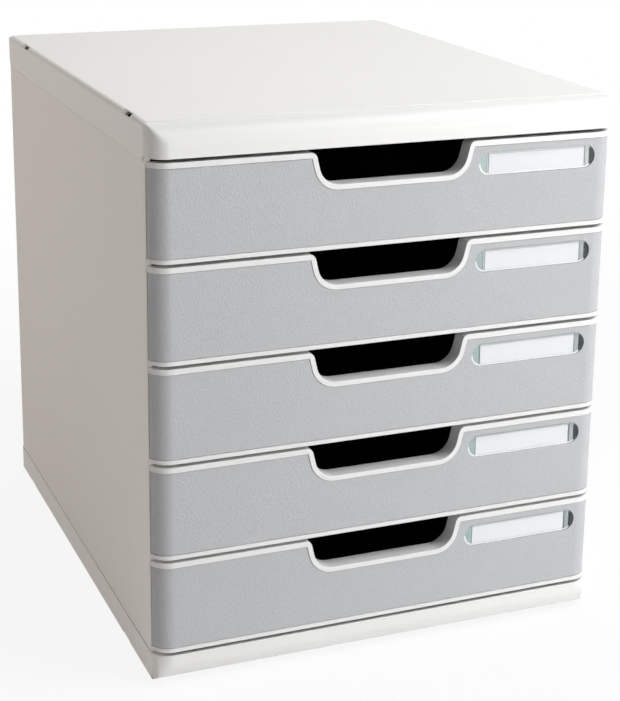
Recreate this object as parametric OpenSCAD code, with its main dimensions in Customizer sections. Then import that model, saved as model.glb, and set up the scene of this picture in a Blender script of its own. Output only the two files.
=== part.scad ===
// Desktop drawer unit for A4 paper: a snapped-together plastic case with
// a stack of drawers on moulded rails. Millimetres.
// X runs to the right, the fronts face -Y, Z is up, and the origin lies
// on the desk under the middle of the case.

/* [Case] */
// Overall width of the case
case_width = 278; // [256:1:320]
// Overall depth, from the drawer fronts to the back
case_depth = 342; // [330:1:400]
// Overall height, from the desk to the top
case_height = 320; // [292:1:360]
// Radius of the upright corners and of the rolled front and back edges
corner_radius = 12; // [9:0.5:14]
// Radius along the long side edges of the top and the base
side_edge_radius = 3; // [2:0.5:5]
// Wall of the top and base mouldings
shell_wall = 2.5; // [1.8:0.1:3]
// Height of the rolled front and back edges of the top and the base
shell_edge = 18.5; // [17:0.5:22]
// How much further down the sides of the top reach
side_skirt = 2.5; // [1:0.5:4]
// Rise of the flat field of the top above its rolled edges
field_rise = 0.4; // [0.2:0.1:0.8]
// Distance from the front and the back to the flat field
field_setback = 10.5; // [9:0.5:14]
// Thickness of the stiffening ribs inside the top and the base
rib_wall = 1.6; // [1:0.1:2.4]
// Height of those ribs
rib_height = 5; // [3:0.5:8]

/* [Stacking notches] */
// Distance of the first notch behind the front
notch_front = 41; // [30:1:60]
// Distance of the second notch before the back
notch_back = 59; // [40:1:80]
// Length of a notch along the edge
notch_length = 9; // [6:0.5:12]
// Height of a notch
notch_height = 2.4; // [1.6:0.1:3]
// Length of the flat round a notch
notch_flat = 16; // [14:0.5:20]
// Depth of that flat below the rounded edge
notch_sink = 0.8; // [0.4:0.1:1.2]

/* [Side and back panels] */
// Thickness of the side and back panels
panel_wall = 2.5; // [1.8:0.1:3]
// How far the panels lie inside the faces of the top and the base
panel_inset = 0.4; // [0.2:0.1:1]
// Thickness of the tongues that stand inside the top and the base
tongue_wall = 2; // [1.4:0.1:2.6]
// Height of those tongues
tongue_height = 9; // [5:0.5:12]
// How far the back panel stands inside the top and the base
back_tuck = 6; // [4:0.5:6.5]
// Width of the returns that hold the back panel
back_return = 24; // [20:1:40]
// Depth of the recessed field in the back panel
back_field = 0.8; // [0.4:0.1:1.2]

/* [Rails] */
// Width of a rail, from the side panel inwards
rail_width = 6.6; // [6.4:0.2:9]
// Thickness of the rail under a drawer's flange
rail_wall = 2; // [1.4:0.1:2.6]
// Thickness of the keeper above a drawer's flange
keeper_wall = 1.5; // [1:0.1:2]
// Width of the block that stops a drawer
stop_width = 2.4; // [1.8:0.1:2.8]
// Length of the block that stops a drawer
stop_length = 6; // [4:0.5:10]
// How far a drawer opens before it meets its stop
drawer_travel = 255; // [200:5:265]

/* [Drawers] */
// Number of drawers
drawer_count = 5; // [5:1:5]
// Gap above, below and between the drawer fronts
front_gap = 1.9; // [1.2:0.1:3]
// Depth of a drawer front
front_depth = 8; // [7:0.5:12]
// Height of the lip along the top of a front
top_lip = 3; // [2:0.1:4]
// Height of the lip along the bottom of a front
bottom_lip = 2.5; // [2:0.1:4]
// Wall of the front moulding
front_wall = 1.8; // [1.2:0.1:2.4]
// Gap between the fronts and the edges of the side panels
front_clearance = 1; // [0.6:0.1:2]
// Wall of a tray
tray_wall = 1.8; // [1.2:0.1:2.4]
// Outer radius of a tray's upright corners
tray_corner = 6; // [3:0.5:10]
// How far the rim of a tray lies below the top of its front
rim_drop = 6.3; // [5:0.1:10]
// How far the floor of a tray lies above the bottom of its front
tray_lift = 1.5; // [0.5:0.1:3]
// Room between a tray and the rails beside it
tray_side_gap = 2.5; // [1:0.1:4]
// Room between a closed tray and the back panel
tray_back_gap = 7; // [3:0.5:12]
// Height of the ridges along the floor of a tray
ridge_height = 0.6; // [0.3:0.1:1]
// Width of those ridges
ridge_width = 4; // [2:0.5:8]
// Distance of the ridges from the front and the back of a tray
ridge_end = 24; // [12:1:60]
// Thickness of a tray's flange
flange_wall = 2; // [1.4:0.1:2.6]
// How far a flange lies on its rail
flange_bearing = 3.5; // [2.5:0.1:3.9]
// Length of the lug at the rear end of a flange
lug_length = 5; // [3:0.5:8]

/* [Finger notch] */
// Width of the notch at the top of a front
finger_width = 92.4; // [70:0.2:96]
// Depth of the notch below the top of a front
finger_depth = 18.4; // [16:0.1:22]
// Slope of the notch's sides from upright
finger_slope = 13.5; // [8:0.5:24]
// Radius of the notch's lower corners
finger_radius = 12; // [4:0.5:13]
// Radius where the notch's sides meet the top edge
finger_mouth_radius = 3.8; // [1:0.1:4.2]
// Width of the lip round the notch
finger_lip = 2.8; // [2:0.1:4]
// Depth of the collar behind the lip
collar_depth = 10; // [9:0.1:14]

/* [Decor panel and label] */
// Thickness of the grey decor panel
decor_wall = 1.2; // [0.8:0.1:1.6]
// How far the decor panel lies behind the lips
decor_recess = 0.3; // [0.1:0.1:0.6]
// Distance from the label window to the lip of the finger notch
window_gap = 2.6; // [1.6:0.1:10]
// Distance from the window to the side of the case
window_side = 13.5; // [12.6:0.1:20]
// Height of the label window
window_height = 13.6; // [12:0.1:16]
// Height of the middle of the window below the top of a front
window_drop = 13.4; // [11.5:0.1:16]
// How far the window lies behind the face of the decor panel
window_recess = 0.4; // [0.1:0.1:0.5]
// Distance from the ends of the label card to the ends of the window
card_end = 6; // [5.5:0.1:12]
// Height of the label card
card_height = 11.4; // [8:0.1:11.6]
// How far the card lies below the middle of the window
card_sink = 0.5; // [0:0.1:0.5]
// Room at each end of the card in its pocket
card_play = 1; // [0.2:0.1:1.2]
// Thickness of the label card
card_wall = 0.3; // [0.2:0.1:0.5]
// Length of the slot at the window's end where the card is pushed in
card_slot = 2.9; // [2:0.1:4]

/* [Feet] */
// Diameter of a rubber foot
foot_diameter = 16; // [10:1:24]
// How far the feet stand out under the base
foot_stand = 1; // [0.5:0.1:2]
// Depth of the recess that holds a foot
foot_recess = 1; // [0.5:0.1:1.4]
// Distance of the feet from the sides
foot_side = 32; // [26:1:60]
// Distance of the feet from the front and the back
foot_end = 36; // [30:1:60]

/* [Fits] */
// Clearance between pieces that are snapped together
snap_clearance = 0.2; // [0.1:0.05:0.3]
// Height of the seams between the panels and the top and base
seam = 0.3; // [0.2:0.1:0.5]
// Clearance under a flange on its rail
slide_clearance = 0.3; // [0.2:0.05:0.5]
// Clearance of a flange below its keeper
keeper_clearance = 0.6; // [0.4:0.1:1]
// Width of the tabs that join a front to its tray
tab_width = 8; // [5:0.5:12]
// Height of those tabs
tab_height = 3; // [2:0.1:4]

/* [Hidden] */
$fn = 96;
eps = 0.01;

case_plastic = "#e6e5e1";
side_plastic = "#c6beb6";
decor_plastic = "#b9bcc0";
tray_plastic = "#2b2c2e";
clear_plastic = "#a9c9c2";
card_white = "#f1f3f6";
foot_rubber = "#3a3a3a";

half_width = case_width / 2;
half_depth = case_depth / 2;
base_rim = shell_edge;
top_rim = case_height - shell_edge;
side_rim = top_rim - side_skirt;
arc_start = half_depth - corner_radius;

// Side panels: inner face, and the height between the seams
panel_low = base_rim + seam;
panel_high = side_rim - seam;
side_inner = half_width - panel_inset - panel_wall;
tongue_outer = half_width - shell_wall - snap_clearance;
tongue_inner = tongue_outer - tongue_wall;
tongue_end = arc_start - 14;
panel_front = -half_depth + front_depth + front_clearance;

// Back panel, between the returns and the slot ribs
back_outer = half_depth - max(panel_inset + panel_wall, shell_wall) - snap_clearance;
back_inner = back_outer - panel_wall;
back_half = half_width - corner_radius - 1;
slot_rib_outer = back_inner - snap_clearance;
slot_rib_inner = slot_rib_outer - tongue_wall;

// Drawer fronts share what the case leaves between its two edges
drawer_room = top_rim - base_rim;
front_height = (drawer_room - (drawer_count + 1) * front_gap) / drawer_count;
pitch = front_height + front_gap;

// Trays, rails and their channel, measured in a drawer from the bottom of its front
rail_inner = side_inner - rail_width;
tray_half = rail_inner - tray_side_gap;
tray_front = -half_depth + front_depth + snap_clearance;
tray_back = back_inner - tray_back_gap;
rim_height = front_height - rim_drop;
flange_low = rim_height - flange_wall;
flange_edge = rail_inner + flange_bearing;
rail_top = flange_low - slide_clearance;
keeper_low = rim_height + keeper_clearance;
stop_inner = side_inner - stop_width;
lug_edge = side_inner - 0.8;
rail_front = panel_front + 3;
rail_back = slot_rib_inner - 2;
lug_front = tray_back - tray_corner - lug_length;
stop_back = lug_front - drawer_travel - slide_clearance;

// Front moulding
decor_back = decor_recess + decor_wall;
skin_back = decor_back + front_wall;
collar_clearance = 2 * snap_clearance;
tab_reach = tray_wall + 1.2;
tab_low = bottom_lip + 7;
tab_high = rim_height - 7;
tab_inner = finger_width / 2 + 14;
tab_outer = tray_half - 18;

// Ridges along the floor of a tray, and the spaces between them
ridge_count = 6;
ridge_pitch = 2 * tray_half / (ridge_count + 1);

// Label window
window_left = finger_width / 2 + finger_side(finger_lip) + window_gap;
window_length = half_width - window_side - window_left;
window_x = half_width - window_side - window_length / 2;
window_z = front_height - window_drop;
window_front = decor_recess + window_recess;
card_length = window_length - 2 * card_end;

function drawer_z(n) = base_rim + front_gap + (drawer_count - n) * pitch;

function finger_side(grow) = grow / cos(finger_slope);

// ---- Outlines ----

module rounded_rect(w, h, r) {
    square([w - 2 * r, h], center = true);
    square([w, h - 2 * r], center = true);
    for (x = [-1, 1], y = [-1, 1])
        translate([x * (w / 2 - r), y * (h / 2 - r)])
            circle(r = r);
}

// Seen from above: the case, drawn in from its faces
module plan_outline(inset) {
    rounded_rect(case_width - 2 * inset, case_depth - 2 * inset, corner_radius - inset);
}

// Seen from above: the part of the case that a drawer front covers
module front_outline(inset) {
    intersection() {
        plan_outline(inset);
        translate([-half_width, -half_depth])
            square([case_width, front_depth]);
    }
}

// Seen from the front: the finger notch, opened out by grow on every side.
// Its lower corners are arcs that touch the sloping sides and the bottom.
module finger_outline(grow, height) {
    r = finger_radius + grow;
    low = front_height - finger_depth - grow;
    arc_z = low + r;
    rise = height - arc_z;
    mouth = finger_width / 2 + finger_side(grow) + (height - front_height) * tan(finger_slope);
    arc_x = mouth - rise * tan(finger_slope) - r / cos(finger_slope);
    touch = [arc_x + r * cos(finger_slope), arc_z - r * sin(finger_slope)];
    polygon([
        [-mouth, height], [-touch[0], touch[1]], [-arc_x, low],
        [arc_x, low], touch, [mouth, height]
    ]);
    for (x = [-1, 1])
        translate([x * arc_x, arc_z])
            circle(r = r);
}

// Seen from the front: the two corners that round the mouth of the notch
module finger_mouth() {
    r = finger_mouth_radius;
    turn = (90 - finger_slope) / 2;
    reach = r * tan(turn);
    edge = finger_width / 2;
    slope = [sin(finger_slope), cos(finger_slope)];
    for (x = [-1, 1])
        scale([x, 1])
            difference() {
                polygon([
                    [edge - eps, front_height + eps],
                    [edge + reach, front_height + eps],
                    [edge + reach, front_height],
                    [edge - reach * slope[0], front_height - reach * slope[1]],
                    [edge - reach * slope[0] - eps, front_height - reach * slope[1]]
                ]);
                translate([edge + reach, front_height - r])
                    circle(r = r);
            }
}

// Seen from the front: a bar with round ends
module window_outline(grow) {
    w = window_length + 2 * grow;
    h = window_height + 2 * grow;
    square([w - h, h], center = true);
    for (x = [-1, 1])
        translate([x * (w - h) / 2, 0])
            circle(d = h);
}

// Stands a drawing in X and Z upright, from one Y to another
module upright(from, to) {
    translate([0, to, 0])
        rotate([90, 0, 0])
            linear_extrude(height = to - from)
                children();
}

// ---- Case ----

// The whole case as one rounded block, drawn in from its faces.
// The flat field stands a little above the rolled front and back edges.
module case_form(inset) {
    tall = case_height - foot_stand - 2 * inset;
    middle = (case_height + foot_stand) / 2;
    edge = max(side_edge_radius - inset, 0.5);
    intersection() {
        linear_extrude(height = case_height)
            plan_outline(inset);
        translate([-half_width - 1, 0, middle])
            rotate([90, 0, 90])
                linear_extrude(height = case_width + 2) {
                    rounded_rect(case_depth - 2 * inset, tall - 2 * field_rise, corner_radius - inset);
                    square([case_depth - 2 * field_setback, tall], center = true);
                }
        translate([0, half_depth + 1, middle])
            rotate([90, 0, 0])
                linear_extrude(height = case_depth + 2)
                    rounded_rect(case_width - 2 * inset, tall, edge);
    }
}

// A notch through the side edge, in a short flat, at both sides of the case
module edge_notches(y, edge_z, way) {
    flat_depth = (sqrt(2) - 1) * side_edge_radius + notch_sink;
    for (x = [-1, 1])
        translate([x * half_width, y, edge_z])
            rotate([0, -way * (90 - 45 * x), 0]) {
                translate([-flat_depth, 0, 0])
                    rotate([0, 90, 0])
                        cylinder(d = notch_flat, h = 2 * flat_depth);
                translate([-3 * shell_wall, -notch_length / 2, -notch_height / 2])
                    cube([4 * shell_wall, notch_length, notch_height]);
            }
}

// Ribs across and along the inside of a shell, rooted in its wall
module shell_ribs(low) {
    reach_x = tongue_inner - 4;
    reach_y = arc_start - 8;
    for (k = [-2:2])
        translate([k * reach_x / 3 - rib_wall / 2, -reach_y, low])
            cube([rib_wall, 2 * reach_y, rib_height + 1]);
    for (k = [-3:3])
        translate([-reach_x, k * reach_y / 3 - rib_wall / 2, low])
            cube([2 * reach_x, rib_wall, rib_height + 1]);
}

module top_shell() {
    color(case_plastic) {
        difference() {
            intersection() {
                case_form(0);
                union() {
                    translate([-case_width, -case_depth, top_rim])
                        cube([2 * case_width, 2 * case_depth, case_height]);
                    translate([-case_width, -arc_start, side_rim])
                        cube([2 * case_width, 2 * arc_start, case_height]);
                }
            }
            case_form(shell_wall);
            edge_notches(-half_depth + notch_front, case_height, 1);
            edge_notches(half_depth - notch_back, case_height, 1);
        }
        shell_ribs(case_height - shell_wall - rib_height);
    }
}

// Gussets that close the corners of the base below the drawer fronts
module corner_gussets() {
    gusset = corner_radius - 0.6;
    for (x = [-1, 1], y = [-1, 1])
        translate([x * (half_width - gusset / 2), y * (half_depth - gusset), base_rim - 1.4])
            cube([gusset, 2 * gusset, 2], center = true);
}

module base_shell() {
    color(case_plastic) {
        difference() {
            intersection() {
                case_form(0);
                translate([-case_width, -case_depth, 0])
                    cube([2 * case_width, 2 * case_depth, base_rim]);
            }
            case_form(shell_wall);
            edge_notches(-half_depth + notch_back, foot_stand, -1);
            edge_notches(half_depth - notch_front, foot_stand, -1);
            foot_places(foot_stand - eps, foot_recess + eps, foot_diameter / 2 + snap_clearance);
        }
        shell_ribs(foot_stand + shell_wall - 1);
        intersection() {
            case_form(shell_wall / 2);
            corner_gussets();
        }
    }
}

module foot_places(low, height, radius) {
    for (x = [-1, 1], y = [-1, 1])
        translate([x * (half_width - foot_side), y * (half_depth - foot_end), low])
            cylinder(r = radius, h = height);
}

module rubber_feet() {
    color(foot_rubber)
        foot_places(0, foot_stand + foot_recess, foot_diameter / 2);
}

// The wall of the right side panel, with its curved rear return, from above
module side_wall_outline() {
    intersection() {
        difference() {
            plan_outline(panel_inset);
            plan_outline(panel_inset + panel_wall);
        }
        union() {
            translate([half_width - corner_radius, panel_front])
                square([corner_radius, case_depth]);
            translate([half_width - back_return, arc_start])
                square([back_return, corner_radius]);
        }
    }
}

module rail_bar(inner, low, high) {
    translate([inner, rail_front, low])
        cube([side_inner + 1 - inner, rail_back - rail_front, high - low]);
}

// The channel that carries one drawer: rail, keeper and stop
module runner(z) {
    translate([0, 0, z]) {
        rail_bar(rail_inner, rail_top - rail_wall, rail_top);
        rail_bar(rail_inner + 1.5, keeper_low, keeper_low + keeper_wall);
        translate([stop_inner, stop_back - stop_length, rail_top - 0.5])
            cube([stop_width + 1, stop_length, keeper_low - rail_top + 1]);
    }
}

// A tongue that stands inside the edge of the top or the base
module tongue(root, way) {
    low = min(root, root + way * tongue_height);
    foot_low = min(root, root - way * 2.2);
    translate([tongue_inner, -tongue_end, low])
        cube([tongue_wall, 2 * tongue_end, tongue_height]);
    translate([tongue_inner, -tongue_end, foot_low])
        cube([side_inner + 1 - tongue_inner, 2 * tongue_end, 2.2]);
}

// The rib that holds the back panel against the returns, seen from above
module slot_rib_outline() {
    intersection() {
        plan_outline(panel_inset + panel_wall / 2);
        translate([back_half - 5, slot_rib_inner])
            square([half_width - back_half + 5, tongue_wall]);
    }
}

module side_panel() {
    translate([0, 0, panel_low])
        linear_extrude(height = panel_high - panel_low) {
            side_wall_outline();
            slot_rib_outline();
        }
    translate([0, 0, panel_high - 1])
        linear_extrude(height = side_skirt + 1)
            difference() {
                side_wall_outline();
                square([case_width, 2 * arc_start + 2 * seam], center = true);
            }
    for (n = [1:drawer_count])
        runner(drawer_z(n));
    tongue(panel_high, 1);
    tongue(panel_low, -1);
}

module right_side() {
    color(side_plastic)
        side_panel();
}

module left_side() {
    color(side_plastic)
        mirror([1, 0, 0])
            side_panel();
}

module back_panel() {
    low = base_rim - back_tuck;
    high = top_rim + back_tuck;
    field_w = 2 * (half_width - back_return - 8);
    field_low = base_rim + 12;
    color(side_plastic)
        difference() {
            translate([-back_half, back_inner, low])
                cube([2 * back_half, panel_wall, high - low]);
            translate([-field_w / 2, back_outer - back_field, field_low])
                cube([field_w, 2 * back_field, side_rim - 12 - field_low]);
        }
}

// ---- Drawers ----

// Places a drawer's piece, drawn from the bottom edge of its front
module at_drawer(n) {
    translate([0, 0, drawer_z(n)])
        children();
}

module tab_blocks(from, to, grow) {
    w = tab_width + 2 * grow;
    h = tab_height + 2 * grow;
    for (x = [-tab_outer, -tab_inner, tab_inner, tab_outer], z = [tab_low, tab_high])
        translate([x - w / 2, from, z - h / 2])
            cube([w, to - from, h]);
}

// Seen from above: a tray, drawn in from its outside
module tray_outline(inset) {
    w = 2 * (tray_half - inset);
    d = tray_back - tray_front - 2 * inset;
    translate([0, (tray_back + tray_front) / 2])
        rounded_rect(w, d, tray_corner - inset);
}

// One of the low ridges that keep paper from clinging to the floor of a tray
module tray_ridge() {
    low = tray_front + ridge_end;
    high = tray_back - ridge_end;
    linear_extrude(height = tray_wall / 2 + ridge_height)
        translate([0, (low + high) / 2])
            square([ridge_width, high - low], center = true);
}

module drawer_tray(n) {
    floor_top = tray_lift + tray_wall;
    color(tray_plastic)
        at_drawer(n) {
            difference() {
                translate([0, 0, tray_lift])
                    linear_extrude(height = rim_height - tray_lift)
                        tray_outline(0);
                translate([0, 0, floor_top])
                    linear_extrude(height = rim_height)
                        tray_outline(tray_wall);
                upright(tray_front - 1, tray_front + tray_wall + 1)
                    finger_outline(finger_lip + collar_clearance, front_height + 10);
                tab_blocks(tray_front - 1, tray_front + tray_wall + 1, snap_clearance);
            }
            for (k = [0:ridge_count - 1])
                translate([(k + 1) * ridge_pitch - tray_half, 0, floor_top - tray_wall / 2])
                    tray_ridge();
            for (x = [0, 1])
                mirror([x, 0, 0]) {
                    translate([tray_half - tray_wall / 2, tray_front + tray_corner, flange_low])
                        cube([
                            flange_edge - tray_half + tray_wall / 2,
                            tray_back - tray_front - 2 * tray_corner,
                            flange_wall
                        ]);
                    translate([flange_edge - 1, lug_front, flange_low])
                        cube([lug_edge - flange_edge + 1, lug_length, flange_wall]);
                }
        }
}

// The grey field on a front, from one depth behind the face to another
module decor_field(from, to, gap) {
    difference() {
        translate([0, 0, bottom_lip + gap])
            linear_extrude(height = front_height - top_lip - bottom_lip - 2 * gap)
                difference() {
                    front_outline(from);
                    front_outline(to);
                }
        upright(-half_depth - 1, -half_depth + collar_depth)
            finger_outline(finger_lip + gap, front_height + 1);
    }
}

module front_hollow() {
    difference() {
        translate([0, 0, bottom_lip])
            linear_extrude(height = front_height - top_lip - bottom_lip)
                difference() {
                    front_outline(skin_back);
                    for (x = [-1, 1], k = [0.36, 0.68])
                        translate([x * k * half_width - rib_wall / 2, -half_depth])
                            square([rib_wall, front_depth]);
                }
        upright(-half_depth - 1, -half_depth + collar_depth)
            finger_outline(finger_lip, front_height + 1);
        tab_blocks(-half_depth + skin_back - 1, -half_depth + front_depth + 1, front_wall);
    }
}

module finger_collar() {
    upright(-half_depth + front_wall, -half_depth + collar_depth)
        intersection() {
            difference() {
                finger_outline(finger_lip, front_height + 1);
                finger_outline(0, front_height + 2);
                finger_mouth();
            }
            translate([-half_width, 0])
                square([case_width, front_height]);
        }
}

module at_window() {
    translate([window_x, 0, window_z])
        children();
}

module drawer_front(n) {
    card_back = -half_depth + decor_back + card_wall + snap_clearance;
    card_room = card_length + 2 * card_play;
    card_space = card_height + 2 * snap_clearance;
    color(case_plastic)
        at_drawer(n) {
            difference() {
                linear_extrude(height = front_height)
                    front_outline(0);
                decor_field(-1, decor_back, 0);
                front_hollow();
                upright(-half_depth - 1, -half_depth + collar_depth + 1) {
                    finger_outline(0, front_height + 1);
                    finger_mouth();
                }
                at_window() {
                    upright(-half_depth, card_back)
                        translate([0, -card_sink])
                            square([card_room, card_space], center = true);
                    upright(-half_depth, -half_depth + skin_back + 1)
                        intersection() {
                            window_outline(0);
                            translate([window_length / 2 - card_slot, -window_height])
                                square([card_slot, 2 * window_height]);
                        }
                }
            }
            finger_collar();
            tab_blocks(-half_depth + front_depth - front_wall, tray_front + tab_reach, 0);
        }
}

module decor_panel(n) {
    color(decor_plastic)
        at_drawer(n)
            difference() {
                decor_field(decor_recess, decor_back - eps, snap_clearance);
                at_window()
                    upright(-half_depth - 1, -half_depth + skin_back)
                        window_outline(0);
            }
}

module label_window(n) {
    color(clear_plastic, 0.45)
        at_drawer(n)
            at_window()
                upright(-half_depth + window_front, -half_depth + decor_back - eps)
                    window_outline(-snap_clearance);
}

module label_card(n) {
    color(card_white)
        at_drawer(n)
            at_window()
                upright(-half_depth + decor_back, -half_depth + decor_back + card_wall)
                    translate([0, -card_sink])
                        square([card_length, card_height], center = true);
}

top_shell();
base_shell();
left_side();
right_side();
back_panel();
rubber_feet();
for (n = [1:drawer_count]) {
    drawer_tray(n);
    drawer_front(n);
    decor_panel(n);
    label_window(n);
    label_card(n);
}
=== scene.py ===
import math

import bpy
from mathutils import Matrix, Vector


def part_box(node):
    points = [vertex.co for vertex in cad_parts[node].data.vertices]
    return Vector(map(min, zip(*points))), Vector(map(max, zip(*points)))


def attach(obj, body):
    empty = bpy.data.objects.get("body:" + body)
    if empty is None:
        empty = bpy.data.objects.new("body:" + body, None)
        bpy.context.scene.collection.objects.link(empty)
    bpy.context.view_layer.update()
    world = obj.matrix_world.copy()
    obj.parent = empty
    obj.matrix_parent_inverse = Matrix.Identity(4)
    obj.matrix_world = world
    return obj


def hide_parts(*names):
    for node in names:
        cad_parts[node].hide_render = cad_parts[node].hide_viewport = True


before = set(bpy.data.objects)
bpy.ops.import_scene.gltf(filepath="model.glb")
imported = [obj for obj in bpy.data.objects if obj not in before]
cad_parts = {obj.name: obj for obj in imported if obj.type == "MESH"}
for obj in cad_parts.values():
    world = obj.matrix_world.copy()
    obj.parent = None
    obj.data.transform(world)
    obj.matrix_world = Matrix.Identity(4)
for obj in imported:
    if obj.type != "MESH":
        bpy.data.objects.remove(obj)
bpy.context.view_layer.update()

# ---- The view -------------------------------------------------------------
# The photograph looks at the unit from the front left and from a little
# above, through a long lens, and is shifted a little, as a building is shot.
photo_height = 701
lens_px = 1683.6
centre_y_px = 238.3
view_from = Vector((-0.3788, -0.9815, 0.4888))
turned_right = math.radians(22.123)
tilted_down = math.radians(15.098)
rolled = math.radians(0.747)

bpy.ops.object.camera_add()
camera = bpy.context.object
camera.name = "photo_camera"
camera.matrix_world = (
    Matrix.Translation(view_from)
    @ Matrix.Rotation(-turned_right, 4, "Z")
    @ Matrix.Rotation(math.pi / 2 - tilted_down, 4, "X")
    @ Matrix.Rotation(rolled, 4, "Z")
)
camera.data.sensor_width = 36.0
camera.data.lens = lens_px / photo_height * camera.data.sensor_width
camera.data.shift_y = (centre_y_px - photo_height / 2) / photo_height
camera.data.clip_start = 0.05
camera.data.clip_end = 20.0
bpy.context.scene.camera = camera

# ---- The studio -----------------------------------------------------------
# A white table and a white room. Two soft lamps stand on the right and shade
# the front towards its left end, one hangs behind, and a weak warm one lifts
# the left side.


class Wire:
    """The output of a shader node. Each sum, difference or product adds a Math node."""

    def __init__(self, finish, socket):
        self.finish = finish
        self.socket = socket

    def combine(self, operation, first, second):
        return self.finish.node("ShaderNodeMath", {"operation": operation}, {0: first, 1: second})

    def __add__(self, other):
        return self.combine("ADD", self, other)

    def __radd__(self, other):
        return self.combine("ADD", other, self)

    def __sub__(self, other):
        return self.combine("SUBTRACT", self, other)

    def __rsub__(self, other):
        return self.combine("SUBTRACT", other, self)

    def __mul__(self, other):
        return self.combine("MULTIPLY", self, other)

    def __rmul__(self, other):
        return self.combine("MULTIPLY", other, self)


class Finish:
    """A material being made up: its node tree and its surface shader."""

    def __init__(self, name):
        self.material = bpy.data.materials.new(name)
        self.material.use_nodes = True
        self.tree = self.material.node_tree
        self.shader = self.tree.nodes["Principled BSDF"]
        self.output = self.tree.nodes["Material Output"]

    def node(self, kind, settings=None, sockets=None, output=0):
        made = self.tree.nodes.new(kind)
        for key, value in (settings or {}).items():
            setattr(made, key, value)
        for key, value in (sockets or {}).items():
            self.feed(made.inputs[key], value)
        return Wire(self, made.outputs[output])

    def feed(self, socket, value):
        if isinstance(value, Wire):
            self.tree.links.new(value.socket, socket)
        else:
            socket.default_value = value

    def surface(self, **sockets):
        for key, value in sockets.items():
            self.feed(self.shader.inputs[key.replace("_", " ")], value)

    def place(self):
        return self.node("ShaderNodeTexCoord", output="Object")

    def noise(self, scale, detail=3.0, roughness=0.5):
        sockets = {"Vector": self.place(), "Scale": scale, "Detail": detail, "Roughness": roughness}
        return self.node("ShaderNodeTexNoise", None, sockets, "Fac")

    def blend(self, share, first, second):
        sockets = {"Factor": share, "A": first, "B": second}
        return self.node("ShaderNodeMix", {"data_type": "RGBA"}, sockets, "Result")

    def relief(self, height, depth, strength=1.0):
        sockets = {"Height": height, "Distance": depth, "Strength": strength}
        return self.node("ShaderNodeBump", None, sockets)


table_width, below_feet = 12.0, 0.0002
bpy.ops.object.select_all(action="DESELECT")
bpy.ops.mesh.primitive_plane_add(size=table_width, location=(0, 0, -below_feet))
table = bpy.context.object
table.name = "table_top"
table_white, table_roughness = (0.86, 0.86, 0.86, 1), 0.9
table_finish = Finish("white_table")
table_finish.surface(Base_Color=table_white, Roughness=table_roughness)
seen_by = [
    table_finish.node("ShaderNodeLightPath", output=kind)
    for kind in ("Is Camera Ray", "Is Glossy Ray", "Is Transmission Ray")
]
paper_white = table_finish.node("ShaderNodeEmission", None, {"Strength": 1.0})
distance = table_finish.node(
    "ShaderNodeVectorMath", {"operation": "LENGTH"}, {0: table_finish.place()}, "Value"
)
near_unit, far_away = 0.3, 1.0
white_near_unit, white_far_away = 0.88, 1.0
whiteness = table_finish.node(
    "ShaderNodeMapRange",
    {"interpolation_type": "SMOOTHSTEP"},
    {
        "Value": distance,
        "From Min": near_unit,
        "From Max": far_away,
        "To Min": white_near_unit,
        "To Max": white_far_away,
    },
    "Result",
)
whitened = sum(seen_by) * whiteness
mixed = table_finish.node("ShaderNodeMixShader", None, {0: whitened, 2: paper_white})
table_finish.tree.links.new(table_finish.shader.outputs[0], mixed.socket.node.inputs[1])
table_finish.tree.links.new(mixed.socket, table_finish.output.inputs["Surface"])
table.data.materials.append(table_finish.material)

room_white, room_strength = (1, 1, 1, 1), 0.12
room = bpy.data.worlds.new("white_room")
room.use_nodes = True
bpy.context.scene.world = room
room_nodes, room_links = room.node_tree.nodes, room.node_tree.links
room_light = room_nodes["Background"]
room_light.inputs["Color"].default_value = room_white
room_light.inputs["Strength"].default_value = room_strength
backdrop = room_nodes.new("ShaderNodeBackground")
backdrop.inputs["Color"].default_value = room_white
rays = room_nodes.new("ShaderNodeLightPath")
shown = room_nodes.new("ShaderNodeMixShader")
seen = rays.outputs["Is Camera Ray"]
for kind in ("Is Glossy Ray", "Is Transmission Ray"):
    either = room_nodes.new("ShaderNodeMath")
    either.operation = "MAXIMUM"
    room_links.new(seen, either.inputs[0])
    room_links.new(rays.outputs[kind], either.inputs[1])
    seen = either.outputs[0]
room_links.new(seen, shown.inputs[0])
room_links.new(room_light.outputs[0], shown.inputs[1])
room_links.new(backdrop.outputs[0], shown.inputs[2])
room_links.new(shown.outputs[0], room_nodes["World Output"].inputs["Surface"])

# Each lamp's place, the point that it is turned to, its width, watts and tint.
unit_middle, front_right = (0, 0, 0.16), (0.1, -0.17, 0.16)
lamps = {
    "key_lamp": ((0.78, -0.6, 1.25), unit_middle, 0.7, 14.8, (0.96, 0.98, 1.0)),
    "low_lamp": ((0.9, -1.4, 0.26), front_right, 0.5, 12.2, (1.0, 0.99, 0.98)),
    "rear_lamp": ((0.5, 1.0, 1.3), unit_middle, 1.0, 5.4, (1.0, 0.97, 0.88)),
    "side_lamp": ((-1.35, 0.4, 0.85), unit_middle, 0.8, 4.6, (1.0, 0.84, 0.69)),
}
for name, (place, target, size, watts, tint) in lamps.items():
    bpy.ops.object.light_add(type="AREA", location=place)
    lamp = bpy.context.object
    lamp.name = name
    lamp.data.size = size
    lamp.data.energy = watts
    lamp.data.color = tint
    towards = Vector(target) - Vector(place)
    lamp.rotation_euler = towards.to_track_quat("-Z", "Y").to_euler()
bpy.context.scene.view_settings.view_transform = "Standard"

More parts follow.
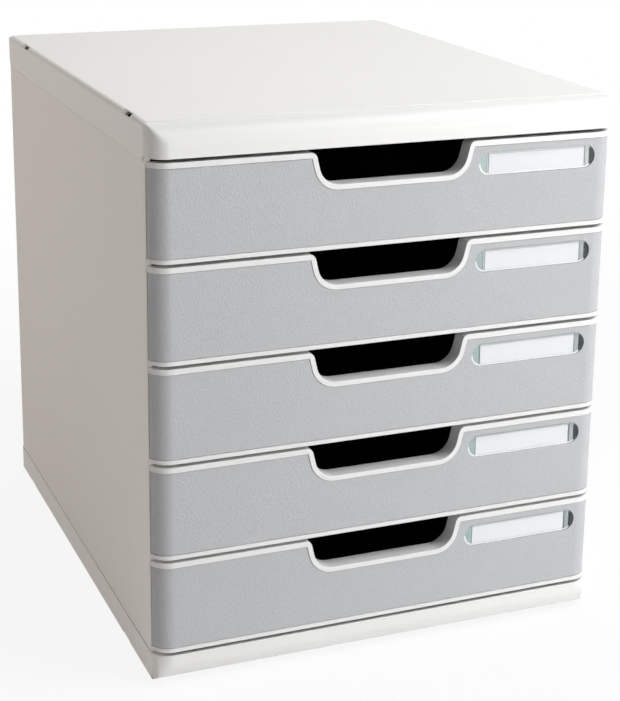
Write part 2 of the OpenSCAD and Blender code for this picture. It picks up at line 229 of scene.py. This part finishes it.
# ---- Base and top ---------------------------------------------------------
# Two shells from one mould, in warm white polystyrene with a fine sparked
# texture. Their free edges are rounded a little, as every moulded edge is,
# and so are the mitres where the rolled ends of the top meet its sides.
same_point = 1e-6  # metres within which two corners are one
hair = 1e-5  # metres within which a corner lies on a surface
flat_within = 0.5  # degrees between triangles that make up one flat face


def loose_copy(node, name):
    """A copy of a CAD node, its triangles joined up into whole flat faces."""
    bpy.ops.object.select_all(action="DESELECT")
    piece = bpy.data.objects.new(name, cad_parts[node].data.copy())
    bpy.context.scene.collection.objects.link(piece)
    bpy.context.view_layer.objects.active = piece
    piece.select_set(True)
    bpy.ops.object.mode_set(mode="EDIT")
    bpy.ops.mesh.select_all(action="SELECT")
    bpy.ops.mesh.remove_doubles(threshold=same_point)
    bpy.ops.mesh.dissolve_limited(angle_limit=math.radians(flat_within))
    bpy.ops.mesh.customdata_custom_splitnormals_clear()
    bpy.ops.object.mode_set(mode="OBJECT")
    return piece


def soften_edges(piece, radius, wanted=None, segments=3, sharper_than=35.0, clamped=True):
    """Rounds the sharp edges whose two ends pass the test, or all of them."""
    bpy.ops.object.mode_set(mode="EDIT")
    bpy.ops.mesh.select_mode(type="EDGE")
    bpy.ops.mesh.select_all(action="DESELECT")
    bpy.ops.mesh.edges_select_sharp(sharpness=math.radians(sharper_than))
    bpy.ops.object.mode_set(mode="OBJECT")
    mesh = piece.data
    chosen = [
        edge.select and (wanted is None or all(wanted(mesh.vertices[i].co) for i in edge.vertices))
        for edge in mesh.edges
    ]
    mesh.vertices.foreach_set("select", [False] * len(mesh.vertices))
    mesh.polygons.foreach_set("select", [False] * len(mesh.polygons))
    for edge, taken in zip(mesh.edges, chosen):
        if taken:
            for i in edge.vertices:
                mesh.vertices[i].select = True
    mesh.edges.foreach_set("select", chosen)
    bpy.ops.object.mode_set(mode="EDIT")
    bpy.ops.mesh.bevel(offset=radius, segments=segments, clamp_overlap=clamped, loop_slide=False)
    bpy.ops.object.mode_set(mode="OBJECT")


def even_shading(piece, smooth_below=40.0):
    """Smooth over the curves, crisp at the edges, and flat on the large faces."""
    bpy.ops.object.shade_smooth_by_angle(angle=math.radians(smooth_below))
    evened = piece.modifiers.new("even_normals", "WEIGHTED_NORMAL")
    evened.keep_sharp = True
    bpy.ops.object.modifier_apply(modifier=evened.name)


def moulded_plastic(name, colour, shade, roughness, grain_per_m=2600.0):
    """Plastic from a sparked mould: a fine even grain and a faint drift of tone."""
    grain_middle, grain_depth, uneven_gloss = 0.5, 0.00003, 0.12
    finish = Finish(name)
    drift = finish.noise(scale=9.0, detail=2.0)
    grain = finish.noise(scale=grain_per_m, detail=2.0, roughness=0.6)
    finish.surface(
        Base_Color=finish.blend(drift, (*colour, 1), (*shade, 1)),
        Roughness=roughness + (grain - grain_middle) * uneven_gloss,
        Normal=finish.relief(grain, depth=grain_depth, strength=0.6),
        IOR=1.5,
        Specular_IOR_Level=0.4,
    )
    return finish.material


def hand_over(piece, material, node, body):
    """Gives a piece its finish, and sets it in the place of its CAD node."""
    piece.data.materials.clear()
    piece.data.materials.append(material)
    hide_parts(node)
    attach(piece, body)


case_half_width, case_half_depth, corner_radius = 0.139, 0.171, 0.012


def depth_in_wall(point):
    """How far a point near the outside lies inside the rounded plan."""
    past_side = max(abs(point.x) - case_half_width + corner_radius, 0.0)
    past_end = max(abs(point.y) - case_half_depth + corner_radius, 0.0)
    return corner_radius - math.hypot(past_side, past_end)


shell_white, shell_shade = (0.82, 0.815, 0.80), (0.785, 0.78, 0.765)
shell_plastic = moulded_plastic("warm_white_shell", shell_white, shell_shade, roughness=0.42)
top_edge, skirt_edge, base_edge = 0.3015, 0.2990, 0.0185
rim_radius, rim_depth = 0.0003, 0.0006
mitre_radius, roll_start, roll_skin = 0.0015, 0.3080, 0.0110


def on_rim(rims):
    """A test for the points on the outer edge of a shell's rims."""

    def passes(point):
        level = any(abs(point.z - rim) < hair for rim in rims)
        return level and depth_in_wall(point) < rim_depth

    return passes


def on_mitre(side, end):
    """A test for the points where a rolled end of the top meets one of its sides."""

    def passes(point):
        past_side = point.x * side - case_half_width + corner_radius
        past_end = point.y * end - case_half_depth + corner_radius
        rise = point.z - roll_start
        return min(past_side, past_end, rise) > hair and math.hypot(past_end, rise) > roll_skin

    return passes


for node, rims in (("base_shell", (base_edge,)), ("top_shell", (top_edge, skirt_edge))):
    shell = loose_copy(node, node.replace("shell", "moulding"))
    soften_edges(shell, rim_radius, on_rim(rims))
    if node == "top_shell":
        for side, end in ((-1, -1), (1, -1), (-1, 1), (1, 1)):
            mitre = on_mitre(side, end)
            soften_edges(shell, mitre_radius, mitre, segments=4, sharper_than=10.0, clamped=False)
    even_shading(shell, smooth_below=60.0)
    hand_over(shell, shell_plastic, node, "case")

# ---- Rubber feet ----------------------------------------------------------
# Four round pads of black rubber, one near each corner. They are pressed into
# recesses in the base, and stand out under it by a millimetre.
rubber_black, rubber_shade = (0.035, 0.035, 0.035), (0.05, 0.05, 0.05)
rubber = moulded_plastic(
    "foot_rubber", rubber_black, rubber_shade, roughness=0.75, grain_per_m=1200.0
)
feet = loose_copy("rubber_feet", "foot_pads")
soften_edges(feet, radius=0.0003)
even_shading(feet)
hand_over(feet, rubber, "rubber_feet", "case")

# ---- Sides and back -------------------------------------------------------
# Flat moulded panels that stand in the base and carry the top. The sides
# curve round to the back, where they hold the back panel in a slot.
# The sides and back take the shell's plastic, painted a little lighter and warmer to stand in for
# light on the shaded left side.
side_white_painted_lighter, side_drift_painted_lighter = (0.84, 0.825, 0.805), (0.81, 0.795, 0.775)
side_plastic_painted_lighter = moulded_plastic("shell_white_painted_lighter_on_sides", side_white_painted_lighter, side_drift_painted_lighter, roughness=0.5)
for node in ("left_side", "right_side", "back_panel"):
    panel = loose_copy(node, node.replace("side", "wall").replace("panel", "wall"))
    soften_edges(panel, radius=0.0002, segments=2)
    even_shading(panel)
    hand_over(panel, side_plastic_painted_lighter, node, "case")

# ---- Drawer trays ---------------------------------------------------------
# Five open trays of black polystyrene with a runner along each side. Low
# ridges on the floor keep the paper from clinging to it.
tray_black, tray_shade = (0.022, 0.021, 0.022), (0.03, 0.029, 0.03)
tray_plastic = moulded_plastic("black_tray", tray_black, tray_shade, roughness=0.38)
drawers = range(1, 6)
for number in drawers:
    tray = loose_copy(f"drawer_tray_{number}", f"tray_{number}")
    soften_edges(tray, radius=0.0004, segments=2)
    even_shading(tray)
    hand_over(tray, tray_plastic, f"drawer_tray_{number}", f"drawer_{number}")

# ---- Drawer fronts --------------------------------------------------------
# White hollow mouldings, snapped to the trays. Their lips frame the plate,
# and roll over softly along the outside and into the finger notch.
front_white, front_shade = (0.80, 0.80, 0.79), (0.77, 0.77, 0.76)
front_plastic = moulded_plastic("white_front", front_white, front_shade, roughness=0.36)
front_height, front_face = 0.05432, -0.171
notch_half_width, notch_bottom, notch_radius = 0.0462, 0.03592, 0.012
notch_slope = math.radians(13.5)
lip_width, lip_radius = 0.0028, 0.0008
upper_lip_bottom, soft_depth = 0.0516, 0.0078


def inside_notch(x, height, grown):
    """Whether a point of the face lies inside the notch, opened out by a margin."""
    above = height - (notch_bottom - grown)
    radius = notch_radius + grown
    edge = notch_half_width + grown / math.cos(notch_slope)
    edge -= (front_height - height) * math.tan(notch_slope)
    centre_height = notch_bottom + notch_radius
    centre_x = notch_half_width - (front_height - centre_height) * math.tan(notch_slope)
    centre_x -= notch_radius / math.cos(notch_slope)
    if above < 0 or abs(x) > edge:
        return False
    beside, below = abs(x) - centre_x, centre_height - height
    return beside < 0 or below < 0 or math.hypot(beside, below) < radius


def on_lip(bottom):
    """A test for the points where the lips of a front roll over."""

    def passes(point):
        height = point.z - bottom
        at_end = height < hair or height > front_height - hair
        if at_end:
            return point.y < front_face + soft_depth
        on_upper_lip = height > upper_lip_bottom
        on_notch_lip = inside_notch(point.x, height, lip_width / 2)
        return point.y < front_face + hair and (on_upper_lip or on_notch_lip)

    return passes


for number in drawers:
    node = f"drawer_front_{number}"
    front = loose_copy(node, f"front_{number}")
    soften_edges(front, lip_radius, on_lip(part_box(node)[0].z), segments=4)
    even_shading(front)
    hand_over(front, front_plastic, node, f"drawer_{number}")

# ---- Decor plates ---------------------------------------------------------
# Mid grey plates with a fine leather grain, let into the fronts and bent
# round their corners. Each has a pill-shaped opening for the label.


def grained_plate():
    """Grey plastic with a fine leather grain that catches the light."""
    ground_grey, ground_shade = (0.460, 0.466, 0.480, 1), (0.444, 0.450, 0.464, 1)
    speckle_grey, speckle_share = (0.545, 0.551, 0.566, 1), 0.5
    speckle_from, speckle_to = 0.3, 0.85
    cell_height, pore_height, grain_depth = 0.7, 0.5, 0.00024
    least_roughness, pore_roughness = 0.45, 0.15
    finish = Finish("grey_grained_plate")
    cells = finish.node(
        "ShaderNodeTexVoronoi",
        {"feature": "SMOOTH_F1"},
        {"Vector": finish.place(), "Scale": 1400.0, "Smoothness": 0.5},
        "Distance",
    )
    pores = finish.noise(scale=2000.0, detail=2.0, roughness=0.6)
    drift = finish.noise(scale=14.0, detail=2.0)
    height = cells * cell_height + pores * pore_height
    ground = finish.blend(drift, ground_grey, ground_shade)
    speckle = finish.node(
        "ShaderNodeMapRange",
        None,
        {"Value": height, "From Min": speckle_from, "From Max": speckle_to},
        "Result",
    )
    finish.surface(
        Base_Color=finish.blend(speckle * speckle_share, ground, speckle_grey),
        Roughness=least_roughness + pores * pore_roughness,
        Normal=finish.relief(height, depth=grain_depth),
        IOR=1.5,
        Specular_IOR_Level=0.45,
    )
    return finish.material


plate_plastic = grained_plate()
plate_face, plate_skin, plate_radius = -0.1707, 0.00031, 0.0005


def at_plate_face(point):
    """Whether a point lies on the face of a plate, also where it is bent round."""
    return point.y < plate_face + hair or depth_in_wall(point) < plate_skin


for number in drawers:
    node = f"decor_panel_{number}"
    plate = loose_copy(node, f"plate_{number}")
    soften_edges(plate, plate_radius, at_plate_face)
    even_shading(plate)
    hand_over(plate, plate_plastic, node, f"drawer_{number}")

# ---- Label cards ----------------------------------------------------------
# Strips of white paper, slid in behind the windows from the right-hand end.
# They lie loose in their pockets, so some stand a little further in.


def paper():
    """Smooth white card with faint fibres."""
    card_white, card_shade = (0.79, 0.80, 0.825, 1), (0.765, 0.775, 0.80, 1)
    finish = Finish("label_paper")
    fibres = finish.noise(scale=900.0, detail=4.0, roughness=0.7)
    finish.surface(
        Base_Color=finish.blend(fibres, card_white, card_shade),
        Roughness=0.7,
        Normal=finish.relief(fibres, depth=0.00002, strength=0.4),
    )
    return finish.material


card_paper = paper()
card_shifts = (0.0006, 0.0006, 0.0, -0.0008, -0.0006)
for number, shift in zip(drawers, card_shifts):
    card = loose_copy(f"label_card_{number}", f"card_{number}")
    soften_edges(card, radius=0.00006, segments=1)
    even_shading(card)
    bpy.ops.transform.translate(value=(shift, 0, 0))
    bpy.ops.object.transform_apply(location=True, rotation=True, scale=True)
    hand_over(card, card_paper, f"label_card_{number}", f"drawer_{number}")

# ---- Label windows --------------------------------------------------------
# A clear pane with round ends covers each card, with a rim behind its edge,
# painted with shade along its top, a painted highlight along its bottom and
# painted near-black shade at the slot end. Solid stops behind its ends keep the
# card in: they look green or smoky, partly because one sees deeper into the
# plastic there and partly from painted shade, with a painted shadow line at the
# card's left end and painted near-black shade at the card's slot.


def pill(name, low, high, inset, front, back):
    """A flat bar with round ends, modelled upright between two depths."""
    size = Vector((high.x - low.x - 2 * inset, back - front, high.z - low.z - 2 * inset))
    middle = Vector(((low.x + high.x) / 2, (front + back) / 2, (low.z + high.z) / 2))
    bpy.ops.object.select_all(action="DESELECT")
    bpy.ops.mesh.primitive_cube_add(size=1.0, location=middle, scale=size)
    bar = bpy.context.object
    bar.name = name
    bpy.ops.object.transform_apply(location=True, rotation=True, scale=True)
    corners = bar.data.vertices
    lengthways = [
        abs(corners[edge.vertices[0]].co.y - corners[edge.vertices[1]].co.y) > same_point
        for edge in bar.data.edges
    ]
    bpy.ops.object.mode_set(mode="EDIT")
    bpy.ops.mesh.select_mode(type="EDGE")
    bpy.ops.mesh.select_all(action="DESELECT")
    bpy.ops.object.mode_set(mode="OBJECT")
    bar.data.edges.foreach_set("select", lengthways)
    bpy.ops.object.mode_set(mode="EDIT")
    bpy.ops.mesh.bevel(offset=size.z / 2 - same_point, segments=16, clamp_overlap=False)
    bpy.ops.mesh.select_all(action="SELECT")
    bpy.ops.mesh.remove_doubles(threshold=4 * same_point)
    bpy.ops.object.mode_set(mode="OBJECT")
    return bar


def hollow_out(bar, wall):
    """Leaves only a wall of the bar, round its outline."""
    facing_out = 0.9
    bpy.ops.object.mode_set(mode="EDIT")
    bpy.ops.mesh.select_mode(type="FACE")
    bpy.ops.mesh.select_all(action="DESELECT")
    bpy.ops.object.mode_set(mode="OBJECT")
    for face in bar.data.polygons:
        face.select = abs(face.normal.y) > facing_out
    bpy.ops.object.mode_set(mode="EDIT")
    bpy.ops.mesh.inset(thickness=wall)
    bpy.ops.mesh.delete(type="FACE")
    bpy.ops.mesh.select_mode(type="EDGE")
    bpy.ops.mesh.select_non_manifold()
    bpy.ops.mesh.bridge_edge_loops()
    bpy.ops.mesh.select_all(action="SELECT")
    bpy.ops.mesh.normals_make_consistent(inside=False)
    bpy.ops.object.mode_set(mode="OBJECT")


def length_of(bar, left, right):
    """Cuts a bar across and keeps what lies between left and right."""
    bpy.ops.object.mode_set(mode="EDIT")
    for x, side in ((left, -1), (right, 1)):
        bpy.ops.mesh.select_all(action="SELECT")
        bpy.ops.mesh.bisect(
            plane_co=(x, 0, 0), plane_no=(side, 0, 0), use_fill=True, clear_outer=True
        )
    bpy.ops.object.mode_set(mode="OBJECT")


def clear_plastic(name, colour, shade, roughness, alpha=1.0, gloss=0.5):
    """Clear plastic in the tones given to it: tinted by the depth one looks into, and in the rim
    and stops also by painted light or shade.
    """
    uneven_gloss = 0.04
    finish = Finish(name)
    cloud = finish.noise(scale=260.0, detail=2.0)
    finish.surface(
        Base_Color=finish.blend(cloud, (*colour, 1), (*shade, 1)),
        Roughness=roughness + cloud * uneven_gloss,
        Alpha=alpha,
        IOR=1.49,
        Specular_IOR_Level=gloss,
    )
    return finish.material


low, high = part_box("label_window_1")
pane_thickness, pane_radius, rim_wall = 0.0004, 0.00025, 0.0008
pane_back = low.y + pane_thickness
stop_front, stop_back = pane_back + hair, high.y - hair


def at_pane_face(point):
    """Whether a point lies on the face of the pane."""
    return point.y < low.y + same_point


pane = pill("label_window", low, high, inset=0.0, front=low.y, back=pane_back)
soften_edges(pane, pane_radius, at_pane_face)
pane_clear, pane_shade = (0.80, 0.90, 0.88), (0.78, 0.88, 0.86)
pane_plastic = clear_plastic("clear_pane", pane_clear, pane_shade, roughness=0.06, alpha=0.03)
pane.data.materials.append(pane_plastic)

# The two tones of each part of the rim, its roughness and its gloss: painted shade
# along the top, a painted highlight along the bottom, painted near-black shade at the slot end.
rim_painted_tones = {
    "painted_shade_rim": ((0.36, 0.44, 0.42), (0.40, 0.48, 0.46), 0.2, 0.5),
    "painted_highlight_rim": ((0.93, 0.95, 0.95), (0.88, 0.90, 0.90), 0.15, 0.5),
    "painted_slot_shade_rim": ((0.03, 0.045, 0.045), (0.04, 0.06, 0.06), 0.3, 0.1),
}
rim = pill("window_rim", low, high, inset=0.0, front=stop_front, back=stop_back)
hollow_out(rim, rim_wall)
for name, (colour, shade, roughness, gloss) in rim_painted_tones.items():
    rim.data.materials.append(clear_plastic(name, colour, shade, roughness, gloss=gloss))
shaded, bright, dark = range(len(rim_painted_tones))
rim_middle, slot_shade_from, turned_up = (low.z + high.z) / 2, 0.1225, 0.3
# Faces below the middle that are not turned up get the painted highlight, the rest painted shade;
# past the slot's start they get painted near-black shade.
for face in rim.data.polygons:
    painted_lit_underneath = face.center.z < rim_middle and face.normal.z < turned_up
    face.material_index = bright if painted_lit_underneath else shaded
    if face.center.x > slot_shade_from:
        face.material_index = dark

# Where each stop begins and ends, its two tones, its roughness and its gloss. The left and
# right stops are tinted partly by the depth of plastic and partly by painted shade; a thin
# painted shadow line stands at the card's left end, and the slot end is painted near black as
# shade.
stops = {
    "left_stop": (low.x, 0.0566, (0.31, 0.42, 0.395), (0.35, 0.46, 0.435), 0.16, 0.5),
    "painted_shadow_line": (0.0566, 0.0570, (0.10, 0.17, 0.155), (0.12, 0.19, 0.175), 0.2, 0.5),
    "right_stop": (0.1195, 0.1222, (0.34, 0.37, 0.37), (0.38, 0.41, 0.41), 0.2, 0.5),
    "painted_shade_slot": (0.1223, high.x, (0.008, 0.013, 0.014), (0.02, 0.032, 0.032), 0.3, 0.1),
}
bars = [rim]
for name, (left, right, colour, shade, roughness, gloss) in stops.items():
    bar = pill(name, low, high, rim_wall + 2 * hair, stop_front, stop_back)
    length_of(bar, left, right)
    plastic = clear_plastic(f"clear_{name}", colour, shade, roughness, gloss=gloss)
    bar.data.materials.append(plastic)
    bars.append(bar)

bpy.ops.object.select_all(action="DESELECT")
for bar in bars:
    bar.select_set(True)
pane.select_set(True)
bpy.context.view_layer.objects.active = pane
bpy.ops.object.join()
even_shading(pane)

for number in drawers:
    window = pane.copy()
    window.data = pane.data.copy()
    window.name = f"window_{number}"
    bpy.context.scene.collection.objects.link(window)
    bpy.ops.object.select_all(action="DESELECT")
    window.select_set(True)
    bpy.context.view_layer.objects.active = window
    bpy.ops.transform.translate(value=(0, 0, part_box(f"label_window_{number}")[0].z - low.z))
    bpy.ops.object.transform_apply(location=True, rotation=True, scale=True)
    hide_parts(f"label_window_{number}")
    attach(window, f"drawer_{number}")
bpy.data.objects.remove(pane)
